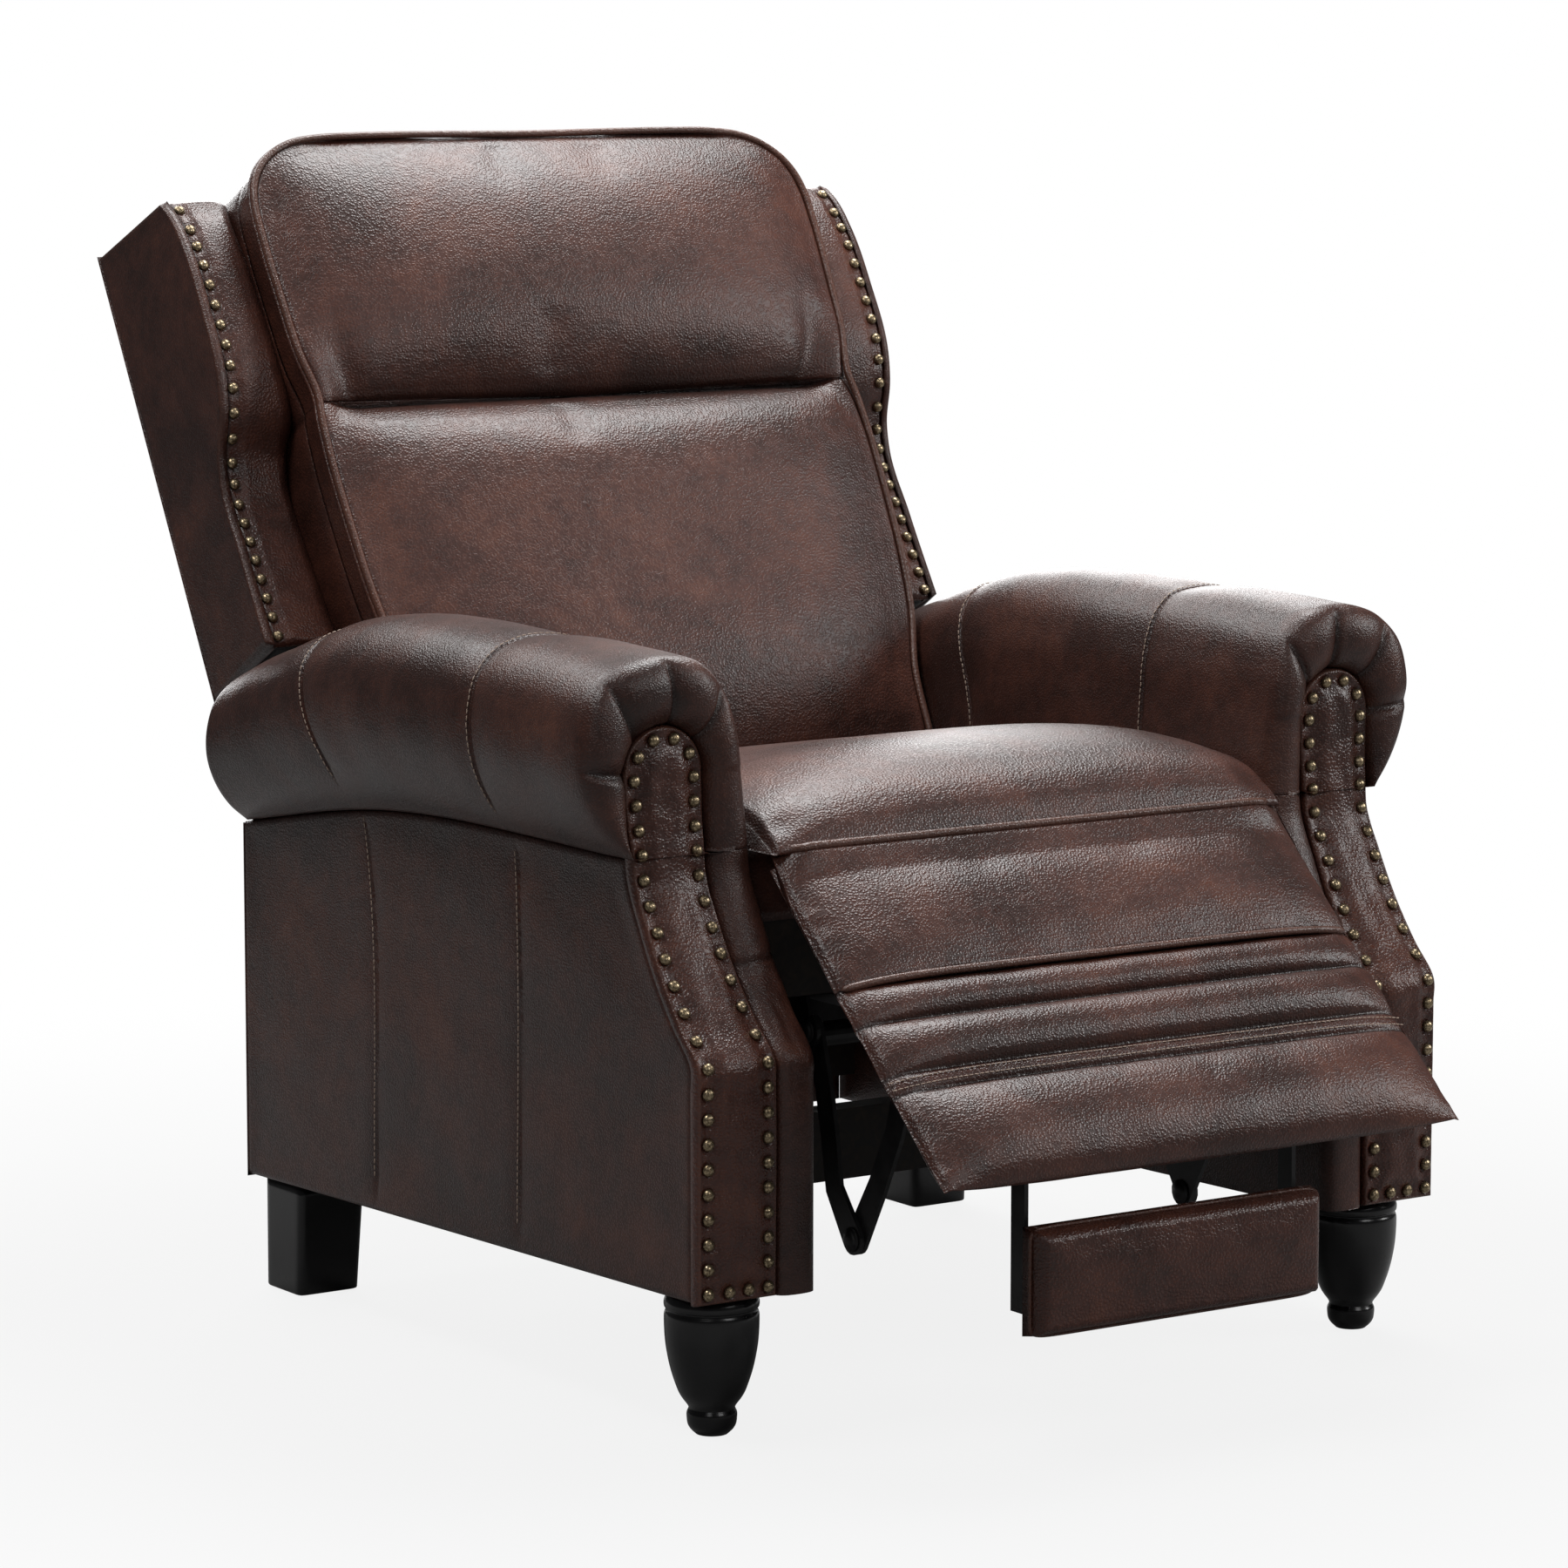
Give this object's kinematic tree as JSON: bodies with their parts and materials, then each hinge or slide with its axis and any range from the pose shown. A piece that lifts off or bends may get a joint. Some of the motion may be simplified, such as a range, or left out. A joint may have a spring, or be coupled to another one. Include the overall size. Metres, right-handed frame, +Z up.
{
  "type": "wingback recliner",
  "caption": "Push-back wing chair in brown leather with rolled arms, nailed scroll panels and wings, turned front feet, a swinging leg panel and a flipper pad.",
  "frame": {"origin": "on the floor under the middle of the whole chair's box in the rest pose", "axes": "+X to the viewer's right, the chair faces -Y, +Z up"},
  "size_m": [0.8456, 1.2108, 1.0168],
  "materials": {
    "leather": "pebbled satin, dark brown with darker hollows",
    "frame_wood": "sawn, unfinished",
    "foot_paint": "black satin paint on turned wood",
    "nail_brass": "antique",
    "spring_steel": "bright drawn wire",
    "black_steel": "black satin paint"
  },
  "bodies": {
    "base": {"left_arm_frame": "frame_wood", "left_side_panel": "leather", "left_inner_arm_pad": "leather", "left_scroll_panel": "leather", "left_arm_nails": "nail_brass", "left_arm_roll": "leather", "left_arm_rear_panel": "leather", "left_front_foot": "foot_paint", "left_rear_foot": "foot_paint", "left_base_rail": "black_steel", "right_arm_frame": "frame_wood", "right_side_panel": "leather", "right_inner_arm_pad": "leather", "right_scroll_panel": "leather", "right_arm_nails": "nail_brass", "right_arm_roll": "leather", "right_arm_rear_panel": "leather", "right_front_foot": "foot_paint", "right_rear_foot": "foot_paint", "right_base_rail": "black_steel", "front_cross_rail": "frame_wood", "rear_cross_rail": "frame_wood", "rear_apron": "leather"},
    "seat": {"seat_frame": "frame_wood", "seat_springs": "spring_steel", "seat_cushion": "leather", "mechanism_cross_tube": "black_steel", "left_seat_plate": "black_steel", "right_seat_plate": "black_steel", "left_back_hinge_plate": "black_steel", "right_back_hinge_plate": "black_steel"},
    "back": {"lumbar_cushion": "leather", "head_pillow": "leather", "back_boxing": "leather", "back_frame": "frame_wood", "back_outer_panel": "leather", "back_lower_panel": "leather", "left_wing_pad": "leather", "left_wing_panel": "leather", "left_wing_nails": "nail_brass", "left_back_bracket": "black_steel", "right_wing_pad": "leather", "right_wing_panel": "leather", "right_wing_nails": "nail_brass", "right_back_bracket": "black_steel"},
    "leg_panel": {"leg_pad": "leather", "leg_board": "frame_wood", "left_leg_bracket": "black_steel", "right_leg_bracket": "black_steel", "left_flipper_hinge": "black_steel", "right_flipper_hinge": "black_steel"},
    "flipper": {"flipper_pad": "leather", "flipper_board": "frame_wood", "left_flipper_arm": "black_steel", "right_flipper_arm": "black_steel"},
    "left_drive": {"left_drive_link": "black_steel"},
    "right_drive": {"right_drive_link": "black_steel"},
    "left_ottoman": {"left_ottoman_link": "black_steel"},
    "right_ottoman": {"right_ottoman_link": "black_steel"}
  },
  "joints": [
    {"name": "back_recline", "type": "hinge", "parent": "seat", "child": "back", "pos_m": [0, 0.18478, 0.4], "axis": [-1, 0, 0], "range_deg": [-12, 18]},
    {"name": "seat_slide", "type": "slide", "parent": "base", "child": "seat", "axis": [0, -1, 0], "range_m": [-0.008, 0.0112]},
    {"name": "leg_panel_swing", "type": "hinge", "parent": "seat", "child": "leg_panel", "pos_m": [0, -0.36822, 0.46], "axis": [-1, 0, 0], "range_deg": [-47, 43]},
    {"name": "flipper_fold", "type": "hinge", "parent": "leg_panel", "child": "flipper", "pos_m": [0, -0.53218, 0.2282], "axis": [-1, 0, 0], "range_deg": [-52, 47]},
    {"name": "left_drive_swing", "type": "hinge", "parent": "seat", "child": "left_drive", "pos_m": [0, -0.29522, 0.3], "axis": [-1, 0, 0], "range_deg": [-48, 44]},
    {"name": "left_ottoman_swing", "type": "hinge", "parent": "left_drive", "child": "left_ottoman", "pos_m": [0, -0.35322, 0.134], "axis": [-1, 0, 0], "range_deg": [-44, 48]},
    {"name": "right_drive_swing", "type": "hinge", "parent": "seat", "child": "right_drive", "pos_m": [0, -0.29522, 0.3], "axis": [-1, 0, 0], "range_deg": [-48, 44]},
    {"name": "right_ottoman_swing", "type": "hinge", "parent": "right_drive", "child": "right_ottoman", "pos_m": [0, -0.35322, 0.134], "axis": [-1, 0, 0], "range_deg": [-44, 48]}
  ],
  "couplings": [
    {"joint": "seat_slide", "follows": "back_recline", "m_per_rad": 0.0333},
    {"joint": "flipper_fold", "follows": "leg_panel_swing", "ratio": 1.09},
    {"joint": "left_drive_swing", "follows": "leg_panel_swing", "ratio": 1},
    {"joint": "left_ottoman_swing", "follows": "leg_panel_swing", "ratio": -1},
    {"joint": "right_drive_swing", "follows": "leg_panel_swing", "ratio": 1},
    {"joint": "right_ottoman_swing", "follows": "leg_panel_swing", "ratio": -1}
  ]
}
